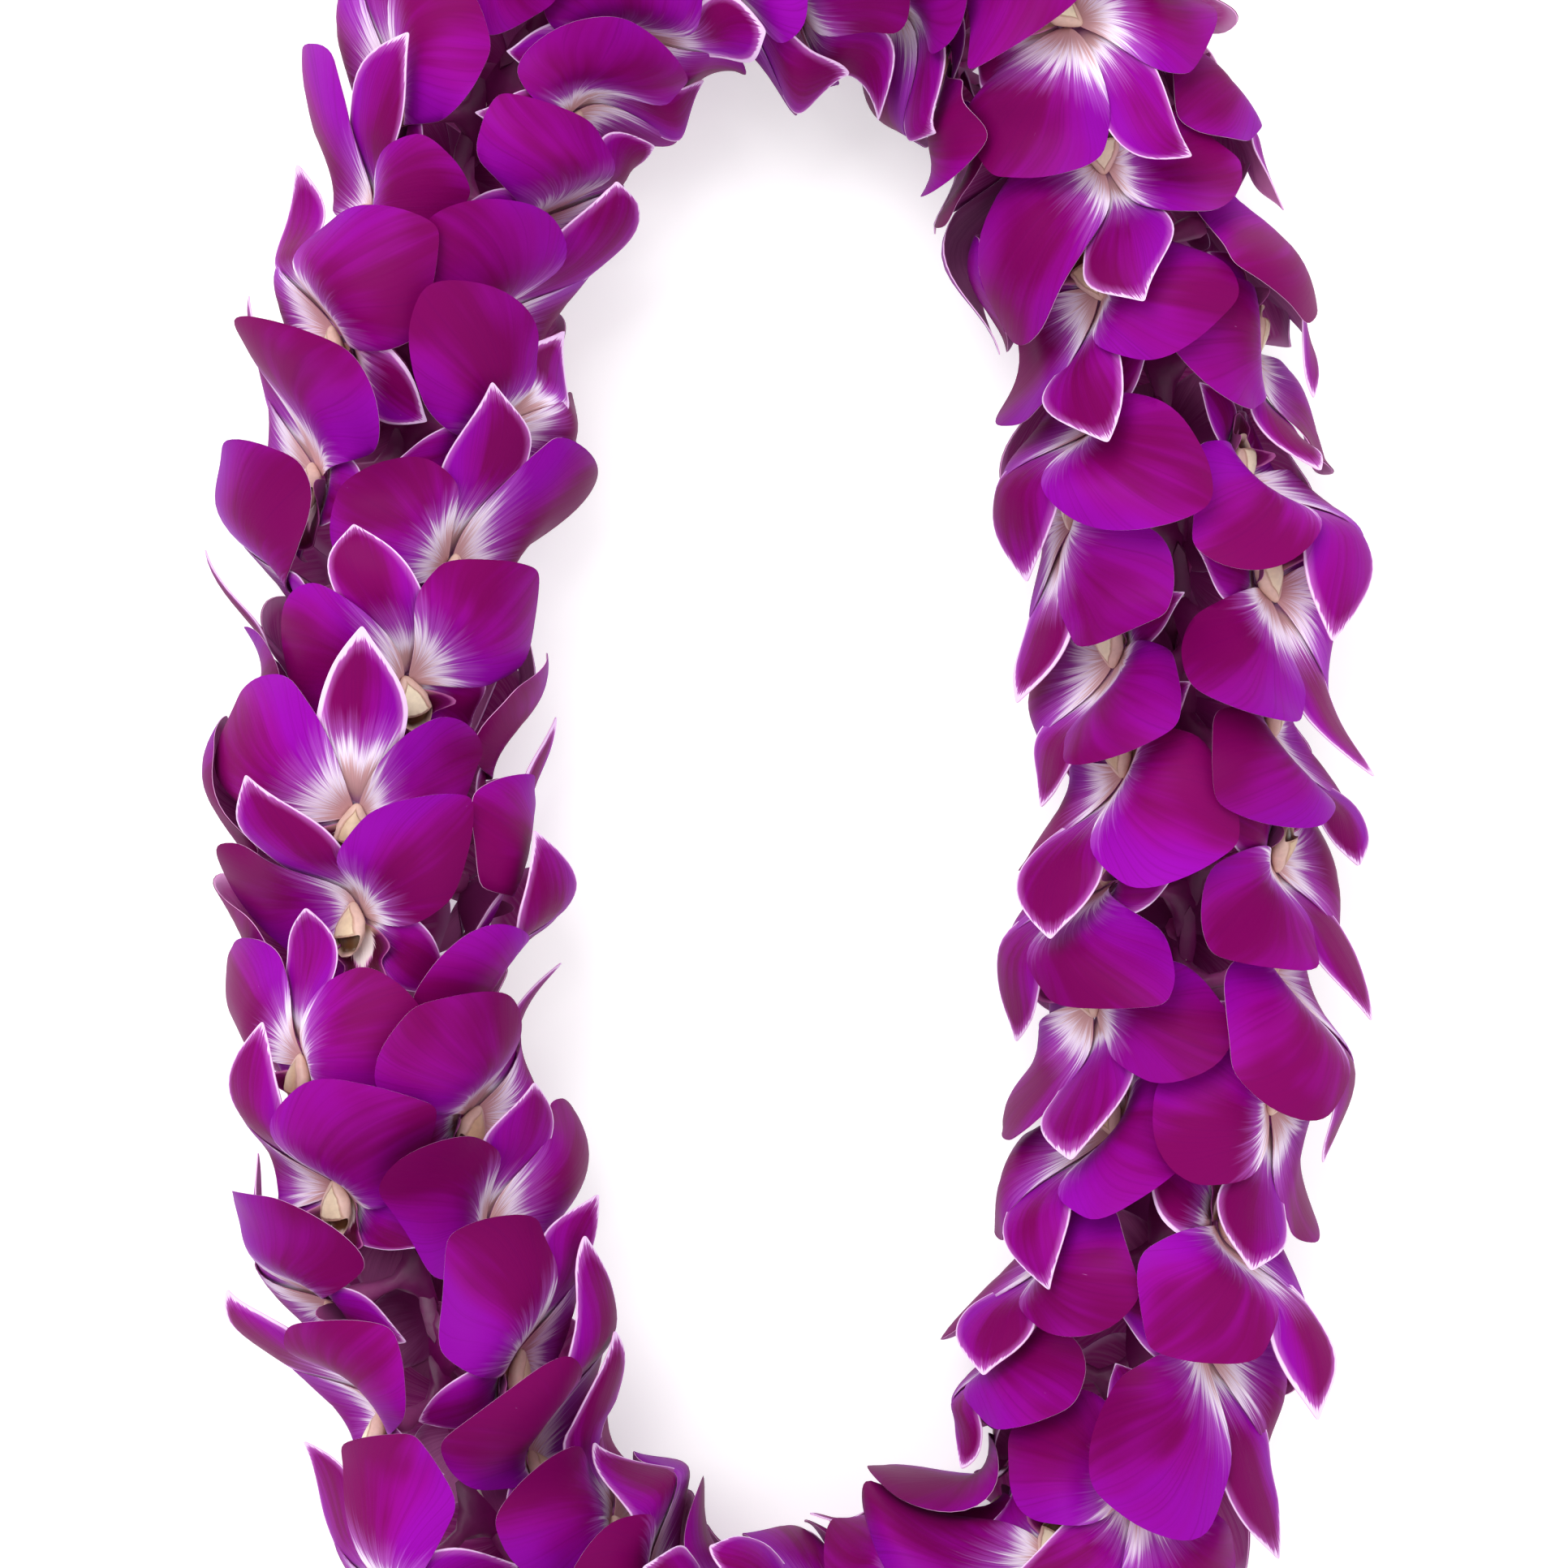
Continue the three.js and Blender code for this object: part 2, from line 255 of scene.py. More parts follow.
def addNode(tree, kind, inputs=None, **settings):
    node = tree.nodes.new(kind)
    for name, value in settings.items():
        setattr(node, name, value)
    for name, value in (inputs or {}).items():
        if isinstance(value, bpy.types.NodeSocket):
            tree.links.new(value, node.inputs[name])
        else:
            node.inputs[name].default_value = value
    return node


def calc(tree, operation, first, second=0.0, third=0.0):
    inputs = {0: first, 1: second, 2: third}
    return addNode(tree, "ShaderNodeMath", inputs, operation=operation).outputs[0]


def times(tree, first, second):
    return calc(tree, "MULTIPLY", first, second)


# A base and a share of some value
def plus(tree, base, value, share):
    return calc(tree, "MULTIPLY_ADD", value, share, base)


# 0 below low, 1 above high, smooth between them, or falling where low is the larger
def between(tree, value, low, high):
    inputs = {"Value": value, "From Min": low, "From Max": high}
    return addNode(tree, "ShaderNodeMapRange", inputs, interpolation_type="SMOOTHSTEP").outputs[0]


def mixColour(tree, share, first, second):
    node = addNode(tree, "ShaderNodeMix", {0: share, 6: first, 7: second}, data_type="RGBA")
    return node.outputs[2]


def noise(tree, vector, scale, detail=2.0):
    inputs = {"Vector": vector, "Scale": scale, "Detail": detail, "Roughness": 0.5}
    return addNode(tree, "ShaderNodeTexNoise", inputs).outputs[0]


# Noise that swings round 0
def centred(tree, value):
    return calc(tree, "SUBTRACT", value, 0.5)


def attribute(tree, name):
    return addNode(tree, "ShaderNodeAttribute", attribute_name=name).outputs["Fac"]


def objectPlace(tree):
    return addNode(tree, "ShaderNodeTexCoord").outputs["Object"]


def setColour(tree, shader, colour, brightness):
    toned = addNode(tree, "ShaderNodeHueSaturation", {"Value": brightness, "Color": colour})
    tree.links.new(toned.outputs[0], shader.inputs["Base Color"])


def setBump(tree, shader, height, look):
    inputs = {"Height": height, "Distance": look["bumpDepth"], "Strength": look["bumpStrength"]}
    bump = addNode(tree, "ShaderNodeBump", inputs)
    tree.links.new(bump.outputs[0], shader.inputs["Normal"])


veinOrigin = 0.06  # how far before an organ's base its veins fan out from
organShift = 9.0  # how far apart the noise of two organs is
backSpan = (0.45, 0.55)  # halfway round its thin edge a blade's face turns into its back


# What an organ's pattern is read from: along it, across it, how near its edge, and its veins' fan
def organPattern(tree):
    place = addNode(tree, "ShaderNodeUVMap", uv_map="bladeMap").outputs[0]
    middle = addNode(tree, "ShaderNodeVectorMath", {0: place, 1: (0.5, 0.5, 0)}, operation="SUBTRACT")
    edge = addNode(tree, "ShaderNodeVectorMath", {0: middle.outputs[0]}, operation="LENGTH")
    axes = addNode(tree, "ShaderNodeSeparateXYZ", {0: middle.outputs[0]})
    along = calc(tree, "ADD", axes.outputs[1], 0.5)
    return {
        "along": along,
        "across": axes.outputs[0],
        "edge": times(tree, edge.outputs["Value"], 2.0),
        "fan": calc(tree, "ARCTAN2", axes.outputs[0], calc(tree, "ADD", along, veinOrigin)),
        "tone": attribute(tree, "tone"),
        "back": between(tree, attribute(tree, "under"), *backSpan),
    }


# Noise drawn out along the veins
def veinNoise(tree, pattern, across, along, shift):
    inputs = {
        0: times(tree, pattern["fan"], across),
        1: times(tree, pattern["along"], along),
        2: plus(tree, shift, pattern["tone"], organShift),
    }
    vector = addNode(tree, "ShaderNodeCombineXYZ", inputs).outputs[0]
    return noise(tree, vector, 1.0)


petalLook = {
    "white": tint(248, 236, 254),
    "haze": tint(188, 98, 208),
    "bright": tint(137, 5, 154),
    "rose": tint(134, 3, 125),
    "deep": tint(113, 1, 82),
    "halo": tint(190, 96, 190),
    "rim": tint(236, 202, 242),
    "back": tint(206, 76, 172),
    "backPale": tint(240, 178, 228),
    "backPaintedShade": tint(122, 2, 98),  # painted shade: the back of an organ's base, darkened where it lies deep in the lei
    "heart": tint(214, 168, 168),  # where an organ meets the column
    "vein": tint(100, 0, 82),
    # pale flecks: partly the petal's own marks, partly painted glints
    "fleckAndGlint": tint(206, 120, 200),
    "sheenTint": tint(190, 150, 255),
    # Noise drawn out along the veins: how fine it is across and along, and a shift
    "broadNoise": (9.0, 1.2, 0.0),
    "fineNoise": (38.0, 2.0, 4.0),
    "veinNoise": (60.0, 0.8, 11.0),
    "fleckAndGlintNoise": (26.0, 9.0, 7.0),
    "cloudScale": 45.0,
    "cellScale": 2400.0,
    # What turns the blade from crimson to violet, and how much
    "violetBase": 0.42,
    "violetAlong": -0.55,
    "violetSlant": 1.8,
    "violetCloud": 0.9,
    "violetEdge": 0.42,
    "violetBroad": 0.5,
    "roseSpan": (0.1, 0.45),
    "brightSpan": (0.3, 0.85),
    # Where a colour starts and is full, along the blade from 0 at its base to 1 at its tip
    "hazeSpan": (0.42, 0.22),
    "hazeShare": 0.55,
    "whiteSpan": (0.29, 0.17),
    "heartSpan": (0.19, 0.08),
    "backPaintedShadeSpan": (0.68, 0.2),
    "backPaintedShadeShare": 0.88,
    # What moves that place towards the base, or towards the tip where it is below 0
    "featherFine": 0.2,
    "featherBroad": 0.2,
    "featherMargin": -0.12,
    "featherWashed": -0.16,
    "washedTones": (0.3, 0.8),  # sepals above the first tone are washed out, in full at the second
    "marginSpan": (0.55, 0.95),
    # The pale rim and the halo inside it, from 0 in the middle of the blade to 1 at its edge
    "tipSpan": (0.7, 1.0),
    "tipRim": 0.03,
    "tipFeather": 0.3,
    "rimBroad": 0.04,
    "rimWashed": 0.08,
    "haloSpan": (0.78, 0.98),
    "haloShare": 0.6,
    "rimSpan": (0.94, 0.995),
    # What share of a noise shows, and how strongly
    "veinSpan": (0.5, 0.75),
    "veinShare": 0.3,
    "fleckAndGlintSpan": (0.79, 0.83),
    "fleckAndGlintShare": 0.45,
    "backStreakSpan": (0.35, 0.7),
    "backStreakShare": 0.3,
    "backEdgeSpan": (0.75, 1.0),
    "backSepalShare": 0.5,
    "toneSpread": 0.13,
    "roughness": 0.5,
    "roughnessCloud": 0.3,
    "shine": 0.04,
    "sheen": 0.02,
    "sheenRoughness": 0.45,
    "cellRelief": 0.12,
    "bumpDepth": 0.0001,
    "bumpStrength": 0.5,
}


# Violet towards the base and to one side, crimson magenta elsewhere
def petalBlade(tree, pattern, broad, cloud):
    look = petalLook
    slant = times(tree, pattern["across"], times(tree, pattern["tone"], look["violetSlant"]))
    violet = plus(tree, look["violetBase"], pattern["along"], look["violetAlong"])
    violet = calc(tree, "ADD", violet, slant)
    violet = plus(tree, violet, cloud, look["violetCloud"])
    violet = plus(tree, violet, pattern["edge"], look["violetEdge"])
    violet = plus(tree, violet, broad, look["violetBroad"])
    rose = mixColour(tree, between(tree, violet, *look["roseSpan"]), look["deep"], look["rose"])
    return mixColour(tree, between(tree, violet, *look["brightSpan"]), rose, look["bright"])


def petalMaterial():
    look = petalLook
    material, tree, shader = newMaterial("petalSkin")
    pattern = organPattern(tree)
    sepal = attribute(tree, "rim")
    broad = centred(tree, veinNoise(tree, pattern, *look["broadNoise"]))
    fine = veinNoise(tree, pattern, *look["fineNoise"])
    cloud = centred(tree, noise(tree, objectPlace(tree), look["cloudScale"], detail=1.0))
    blade = petalBlade(tree, pattern, broad, cloud)
    # The white base ends in a feathered line, with a haze beyond it
    feather = plus(tree, pattern["along"], centred(tree, fine), look["featherFine"])
    feather = plus(tree, feather, broad, look["featherBroad"])
    margin = times(tree, sepal, between(tree, pattern["edge"], *look["marginSpan"]))
    feather = plus(tree, feather, margin, look["featherMargin"])
    washed = times(tree, between(tree, pattern["tone"], *look["washedTones"]), sepal)
    feather = plus(tree, feather, washed, look["featherWashed"])
    haze = times(tree, between(tree, feather, *look["hazeSpan"]), look["hazeShare"])
    blade = mixColour(tree, haze, blade, look["haze"])
    blade = mixColour(tree, between(tree, feather, *look["whiteSpan"]), blade, look["white"])
    blade = mixColour(tree, between(tree, feather, *look["heartSpan"]), blade, look["heart"])
    # Sepals have a pale rim, wider and feathered at the tip, and veins and flecks, which are partly painted
    # glints, end at it
    tipRim = plus(tree, look["tipRim"], centred(tree, fine), look["tipFeather"])
    rimPlace = plus(tree, pattern["edge"], between(tree, pattern["along"], *look["tipSpan"]), tipRim)
    rimPlace = plus(tree, rimPlace, broad, look["rimBroad"])
    rimPlace = plus(tree, rimPlace, washed, look["rimWashed"])
    halo = times(tree, between(tree, rimPlace, *look["haloSpan"]), sepal)
    blade = mixColour(tree, times(tree, halo, look["haloShare"]), blade, look["halo"])
    veins = between(tree, veinNoise(tree, pattern, *look["veinNoise"]), *look["veinSpan"])
    blade = mixColour(tree, times(tree, veins, look["veinShare"]), blade, look["vein"])
    # Pale flecks along the veins, partly the petal's own marks and partly painted glints
    flecksAndGlints = between(tree, veinNoise(tree, pattern, *look["fleckAndGlintNoise"]), *look["fleckAndGlintSpan"])
    blade = mixColour(tree, times(tree, flecksAndGlints, look["fleckAndGlintShare"]), blade, look["fleckAndGlint"])
    rim = times(tree, between(tree, rimPlace, *look["rimSpan"]), sepal)
    blade = mixColour(tree, rim, blade, look["rim"])
    # Backs are paler in streaks, at their edges and on sepals, and deep purple at their base, which is
    # painted shade deep in the lei
    streaks = times(tree, between(tree, fine, *look["backStreakSpan"]), look["backStreakShare"])
    pale = calc(tree, "MAXIMUM", streaks, between(tree, pattern["edge"], *look["backEdgeSpan"]))
    pale = calc(tree, "MAXIMUM", pale, times(tree, sepal, look["backSepalShare"]))
    back = mixColour(tree, pale, look["back"], look["backPale"])
    # Painted shade: towards its base a back is darkened to deep purple, as shade falls deep among the blooms
    base = times(tree, between(tree, feather, *look["backPaintedShadeSpan"]), look["backPaintedShadeShare"])
    back = mixColour(tree, base, back, look["backPaintedShade"])
    colour = mixColour(tree, pattern["back"], blade, back)
    setColour(tree, shader, colour, plus(tree, 1.0, pattern["tone"], look["toneSpread"]))
    roughness = plus(tree, look["roughness"], cloud, look["roughnessCloud"])
    tree.links.new(roughness, shader.inputs["Roughness"])
    shader.inputs["Specular IOR Level"].default_value = look["shine"]
    shader.inputs["Sheen Weight"].default_value = look["sheen"]
    shader.inputs["Sheen Roughness"].default_value = look["sheenRoughness"]
    shader.inputs["Sheen Tint"].default_value = look["sheenTint"]
    cells = noise(tree, objectPlace(tree), look["cellScale"], detail=1.0)
    setBump(tree, shader, plus(tree, fine, cells, look["cellRelief"]), look)
    return material


lipLook = {
    "dark": tint(76, 1, 40),
    "violet": tint(122, 8, 100),
    "fringe": tint(214, 120, 190),
    "crest": tint(244, 230, 228),
    "throat": tint(196, 156, 132),
    "back": tint(140, 66, 116),
    "sheenTint": tint(200, 120, 220),
    "noise": (30.0, 2.5, 2.0),
    "violetSpan": (0.75, 1.0),  # from the middle of the lip at 0 to its edge at 1
    "paleEdgeSpan": (0.93, 0.99),
    "paleEdgeShare": 0.7,
    "crestSides": (0.25, 0.19),  # from the lip's middle line
    "crestSideRagged": 0.16,
    "fringeSpan": (0.74, 0.62),  # along the lip
    "crestSpan": (0.66, 0.58),
    "crestEndRagged": 0.3,
    "crestEndRound": 0.9,
    "throatSpan": (0.22, 0.08),
    "roughness": 0.5,
    "shine": 0.16,
    "sheen": 0.05,
    "bumpDepth": 0.00015,
    "bumpStrength": 0.7,
}


def lipMaterial():
    look = lipLook
    material, tree, shader = newMaterial("lipVelvet")
    pattern = organPattern(tree)
    fine = veinNoise(tree, pattern, *look["noise"])
    ragged = centred(tree, fine)
    fromMiddle = calc(tree, "ABSOLUTE", pattern["across"])
    edgeTone = between(tree, pattern["edge"], *look["violetSpan"])
    blade = mixColour(tree, edgeTone, look["dark"], look["violet"])
    # A pale crest with a ragged fringe runs along the middle
    front = plus(tree, pattern["along"], ragged, look["crestEndRagged"])
    front = plus(tree, front, fromMiddle, look["crestEndRound"])
    onCrest = plus(tree, fromMiddle, ragged, look["crestSideRagged"])
    onCrest = between(tree, onCrest, *look["crestSides"])
    fringe = times(tree, between(tree, front, *look["fringeSpan"]), onCrest)
    blade = mixColour(tree, fringe, blade, look["fringe"])
    crest = times(tree, between(tree, front, *look["crestSpan"]), onCrest)
    blade = mixColour(tree, crest, blade, look["crest"])
    throat = between(tree, pattern["along"], *look["throatSpan"])
    blade = mixColour(tree, throat, blade, look["throat"])
    paleEdge = times(tree, between(tree, pattern["edge"], *look["paleEdgeSpan"]), look["paleEdgeShare"])
    blade = mixColour(tree, paleEdge, blade, look["fringe"])
    colour = mixColour(tree, pattern["back"], blade, look["back"])
    tree.links.new(colour, shader.inputs["Base Color"])
    shader.inputs["Roughness"].default_value = look["roughness"]
    shader.inputs["Specular IOR Level"].default_value = look["shine"]
    shader.inputs["Sheen Weight"].default_value = look["sheen"]
    shader.inputs["Sheen Tint"].default_value = look["sheenTint"]
    setBump(tree, shader, fine, look)
    return material


columnLook = {
    "cap": tint(236, 224, 192),
    "capTan": tint(200, 164, 126),
    "side": tint(218, 184, 168),
    "seam": tint(164, 116, 84),
    # the hollow: partly its own brown, partly painted shade in the recess
    "cavity": tint(92, 60, 28),
    "capPale": 0.5,  # from tan at 0 to pale at 1, and how far the column's tone takes it from there
    "capPaleSpread": 0.5,
    "speckleScale": 900.0,
    # The cap's outline, where 1 is the column's half width and half length
    "capHalfWidth": 0.7,
    "capTaper": -0.3,
    "capBackSpan": (0.4, 1.0),
    "capBackRound": -0.5,
    "capFront": 0.2,
    "capRagged": 0.08,
    "topSpan": (-0.1, 0.3),  # of its height, from the column's flank to its top
    "capSpan": (0.04, 0.14),  # in from the outline
    "seamPlace": 0.05,
    "seamSpan": (0.1, 0.01),
    "seamShare": 0.5,
    "brightness": 0.85,
    "brightnessSpeckle": 0.3,
    "roughness": 0.38,
    "capRelief": 4.0,
    "bumpDepth": 0.0001,
    "bumpStrength": 0.6,
}


def columnMaterial():
    look = columnLook
    material, tree, shader = newMaterial("columnWax")
    speckle = noise(tree, objectPlace(tree), look["speckleScale"])
    pale = plus(tree, look["capPale"], attribute(tree, "tone"), look["capPaleSpread"])
    cap = mixColour(tree, pale, look["capTan"], look["cap"])
    # The cap lies on top, broad in front and round behind, with a seam along its border
    behind = attribute(tree, "behind")
    border = plus(tree, look["capHalfWidth"], behind, look["capTaper"])
    border = calc(tree, "SUBTRACT", border, calc(tree, "ABSOLUTE", attribute(tree, "beside")))
    border = plus(tree, border, between(tree, behind, *look["capBackSpan"]), look["capBackRound"])
    border = calc(tree, "MINIMUM", border, calc(tree, "ADD", behind, look["capFront"]))
    border = plus(tree, border, speckle, look["capRagged"])
    top = between(tree, attribute(tree, "above"), *look["topSpan"])
    onCap = times(tree, between(tree, border, *look["capSpan"]), top)
    wax = mixColour(tree, onCap, look["side"], cap)
    fromSeam = calc(tree, "ABSOLUTE", calc(tree, "SUBTRACT", border, look["seamPlace"]))
    seam = times(tree, between(tree, fromSeam, *look["seamSpan"]), top)
    wax = mixColour(tree, times(tree, seam, look["seamShare"]), wax, look["seam"])
    # The hollow is painted dark brown, partly its own colour and partly painted shade in the recess
    wax = mixColour(tree, attribute(tree, "cavity"), wax, look["cavity"])
    setColour(tree, shader, wax, plus(tree, look["brightness"], speckle, look["brightnessSpeckle"]))
    shader.inputs["Roughness"].default_value = look["roughness"]
    setBump(tree, shader, plus(tree, speckle, onCap, look["capRelief"]), look)
    return material


stalkLook = {
    "head": tint(196, 92, 166),
    # painted shade: the foot, deep in the lei by the thread, is darkened to deep purple
    "foot": tint(112, 2, 88),
    "footSpan": (0.1, 0.9),
    "streakScale": 500.0,
    "brightness": 0.8,
    "brightnessStreak": 0.4,
    "roughness": 0.45,
    "bumpDepth": 0.0002,
    "bumpStrength": 0.5,
}


def stalkMaterial():
    look = stalkLook
    material, tree, shader = newMaterial("stalkSkin")
    streak = noise(tree, objectPlace(tree), look["streakScale"])
    # Painted shade: the stalk darkens towards its foot, where it lies deep in the lei
    down = between(tree, attribute(tree, "down"), *look["footSpan"])
    colour = mixColour(tree, down, look["head"], look["foot"])
    setColour(tree, shader, colour, plus(tree, look["brightness"], streak, look["brightnessStreak"]))
    shader.inputs["Roughness"].default_value = look["roughness"]
    setBump(tree, shader, streak, look)
    return material


threadLook = {
    "shade": tint(206, 198, 178),
    "light": tint(244, 240, 228),
    "fibreScale": 3000.0,
    "roughness": 0.9,
    "bumpDepth": 0.0002,
    "bumpStrength": 0.8,
}


def threadMaterial():
    look = threadLook
    material, tree, shader = newMaterial("threadCotton")
    fibres = noise(tree, objectPlace(tree), look["fibreScale"], detail=3.0)
    colour = mixColour(tree, fibres, look["shade"], look["light"])
    tree.links.new(colour, shader.inputs["Base Color"])
    shader.inputs["Roughness"].default_value = look["roughness"]
    setBump(tree, shader, fibres, look)
    return material


petalSkin = petalMaterial()
lipVelvet = lipMaterial()
columnWax = columnMaterial()
stalkSkin = stalkMaterial()
threadCotton = threadMaterial()
print("materials made")


# Organs modelled once

def deselectAll():
    for item in bpy.context.selected_objects:
        item.select_set(False)


def verticesOf(mesh):
    flat = np.empty(len(mesh.vertices) * 3, np.float32)
    mesh.vertices.foreach_get("co", flat)
    return flat.reshape(-1, 3).astype(float)


def addValues(mesh, name, values):
    layer = mesh.attributes.new(name, "FLOAT", "POINT")
    layer.data.foreach_set("value", np.asarray(values, np.float32))


def dropMaps(mesh):
    while mesh.uv_layers:
        mesh.uv_layers.remove(mesh.uv_layers[0])


def applied(item, name, kind, **settings):
    modifier = item.modifiers.new(name, kind)
    for key, value in settings.items():
        setattr(modifier, key, value)
    bpy.context.view_layer.objects.active = item
    bpy.ops.object.modifier_apply(modifier=name)


# A round blade with two faces, mapped so that its rows stay even up to the margin
def bladeTemplate(name, columns, rows):
    deselectAll()
    bpy.ops.mesh.primitive_grid_add(x_subdivisions=columns, y_subdivisions=rows, size=2)
    blade = bpy.context.object
    blade.name = name
    applied(blade, "wall", "SOLIDIFY", thickness=0.2, offset=0)  # each organ sets its own thickness
    mesh = blade.data
    x, y, side = verticesOf(mesh).T
    discX = x * np.sqrt(1 - y * y / 2)
    discY = y * np.sqrt(1 - x * x / 2)
    corners = np.empty(len(mesh.loops), np.int32)
    mesh.loops.foreach_get("vertex_index", corners)
    dropMaps(mesh)
    layer = mesh.uv_layers.new(name="bladeMap")
    places = np.stack([discX[corners], discY[corners]], axis=1) / 2 + 0.5
    layer.data.foreach_set("uv", places.astype(np.float32).ravel())
    addValues(mesh, "under", side < 0)
    return {"item": blade, "x": discX, "y": discY, "top": side > 0}


# The hollow in the upper front of the column, where 1 is its half width, half length and half height
columnHollow = {
    "halfWidth": 0.82,
    "lowest": 0.12,
    "front": -0.9,
    "back": -0.05,
    "rim": 0.07,
    "sink": (0, 0.15, -0.55),
}


# The column: a hood with a hollow in its upper front
def columnTemplate():
    deselectAll()
    lying = (math.pi / 2, 0, 0)
    bpy.ops.mesh.primitive_uv_sphere_add(segments=14, ring_count=9, radius=1, rotation=lying)
    hood = bpy.context.object
    hood.name = "columnTemplate"
    bpy.ops.object.transform_apply(location=False, rotation=True, scale=False)
    mesh = hood.data
    bpy.ops.object.mode_set(mode="EDIT")
    bpy.ops.mesh.select_all(action="DESELECT")
    bpy.ops.object.mode_set(mode="OBJECT")
    for face in mesh.polygons:
        x, y, z = face.center
        inFront = columnHollow["front"] < y < columnHollow["back"]
        face.select = inFront and abs(x) < columnHollow["halfWidth"] and z > columnHollow["lowest"]
    bpy.ops.object.mode_set(mode="EDIT")
    bpy.ops.mesh.inset(thickness=columnHollow["rim"])
    bpy.ops.mesh.extrude_region_move(TRANSFORM_OT_translate={"value": columnHollow["sink"]})
    bpy.ops.object.mode_set(mode="OBJECT")
    hollow = np.zeros(len(mesh.vertices))
    for face in mesh.polygons:
        if face.select:
            hollow[list(face.vertices)] = 1
    dropMaps(mesh)
    addValues(mesh, "cavity", hollow)
    applied(hood, "round", "SUBSURF", levels=1, render_levels=1)
    points = verticesOf(mesh)
    for i, name in enumerate(("beside", "behind", "above")):
        addValues(mesh, name, points[:, i])
    return {"item": hood, "points": points}


def stalkTemplate():
    deselectAll()
    bpy.ops.mesh.primitive_uv_sphere_add(segments=8, ring_count=9, radius=1)
    stalk = bpy.context.object
    stalk.name = "stalkTemplate"
    mesh = stalk.data
    dropMaps(mesh)
    x, y, z = verticesOf(mesh).T
    down = (1 - z) / 2
    addValues(mesh, "down", down)
    return {"item": stalk, "turn": np.arctan2(y, x), "down": down}


petalDisc = bladeTemplate("petalTemplate", 16, 18)
sepalDisc = bladeTemplate("sepalTemplate", 12, 16)
lipDisc = bladeTemplate("lipTemplate", 14, 14)
columnHood = columnTemplate()
stalkTube = stalkTemplate()
print("organs modelled")


# A copy with its own mesh, its points given in millimetres
def copyOf(template, points, material, values):
    piece = template["item"].copy()
    piece.data = template["item"].data.copy()
    piece.name = "organ"
    bpy.context.scene.collection.objects.link(piece)
    places = np.asarray(points) * mm + offset
    piece.data.vertices.foreach_set("co", places.astype(np.float32).ravel())
    for name, value in values.items():
        addValues(piece.data, name, np.full(len(points), value))
    piece.data.materials.clear()
    piece.data.materials.append(material)
    return piece


# How high a petal pressed on the table lies, and how thick it is there
pressed = {"floor": 0.05, "thickness": 0.6}


# Nothing goes through the table: the face of a bloom that looks down is pressed flat on it
def keepAbove(points, isFace):
    lowest = np.where(isFace, pressed["floor"], pressed["floor"] + pressed["thickness"])
    points[:, 2] = np.maximum(points[:, 2], lowest)
    return points


backSepal = {
    "blade": sepalDisc,
    "length": 33,
    "spread": 25.5,  # its half angle at the throat
    "level": -0.9,
    "crown": 1.0,
    "lift": 11,
    "flare": 5,  # how far one edge stands out where the organ is twisted
    "wave": 0.5,
    "point": 0.1,  # how much narrower the outer part may be
    "sickle": 1.6,  # how far the tip may bend to a side
    "shares": [0, 0.1, 0.25, 0.45, 0.65, 0.8, 0.9, 1],
    "halfWidths": [6.4, 7.3, 8.2, 8.3, 7.7, 6.3, 4.5, 2],
    "rim": 1.0,
}
sideSepal = {
    "blade": sepalDisc,
    "length": 31,
    "spread": 26.5,
    "level": -0.9,
    "crown": 1.0,
    "lift": 0,
    "flare": 0,
    "wave": 0.5,
    "point": 0.1,
    "sickle": 1.6,
    "shares": [0, 0.1, 0.3, 0.5, 0.7, 0.85, 1],
    "halfWidths": [8, 9.3, 9.7, 9, 7.3, 4.9, 2],
    "rim": 1.0,
}
sidePetal = {
    "blade": petalDisc,
    "length": 33,
    "spread": 37,
    "level": 0.9,
    "crown": 1.6,
    "lift": 6,
    "flare": 6,
    "wave": 1.0,
    "point": 0.14,
    "sickle": 2.2,
    "shares": [0, 0.1, 0.25, 0.5, 0.65, 0.8, 0.93, 1],
    "halfWidths": [6.2, 8.6, 11.4, 14, 15.3, 15.2, 13.3, 10.2],
    "rim": 0.0,
}
lip = {
    "blade": lipDisc,
    "length": 16,
    "spread": 27.5,
    "level": 0.4,
    "crown": 0,
    "lift": 0,
    "flare": 0,
    "wave": 0.5,
    "point": 0,
    "sickle": 0,
    "shares": [0, 0.15, 0.32, 0.52, 0.66, 0.82, 1],
    "halfWidths": [6, 10.5, 11, 7, 8, 10, 8.5],
    "lobeHeight": 5.2,  # the side lobes stand up round the column
    "lobeStart": (0.05, 0.2),
    "lobeEnd": (0.6, 0.4),
    "dipDepth": 2.0,  # the middle lobe dips, most of all along its middle
    "dipSpan": (0.5, 1.0),
    "dipFlat": 0.8,
    "crestHeight": 0.8,
    "crestWidth": 0.16,
    "crestEnd": (0.6, 0.3),
}
organs = [backSepal, sidePetal, sideSepal, lip, sideSepal, sidePetal]  # in order round the throat
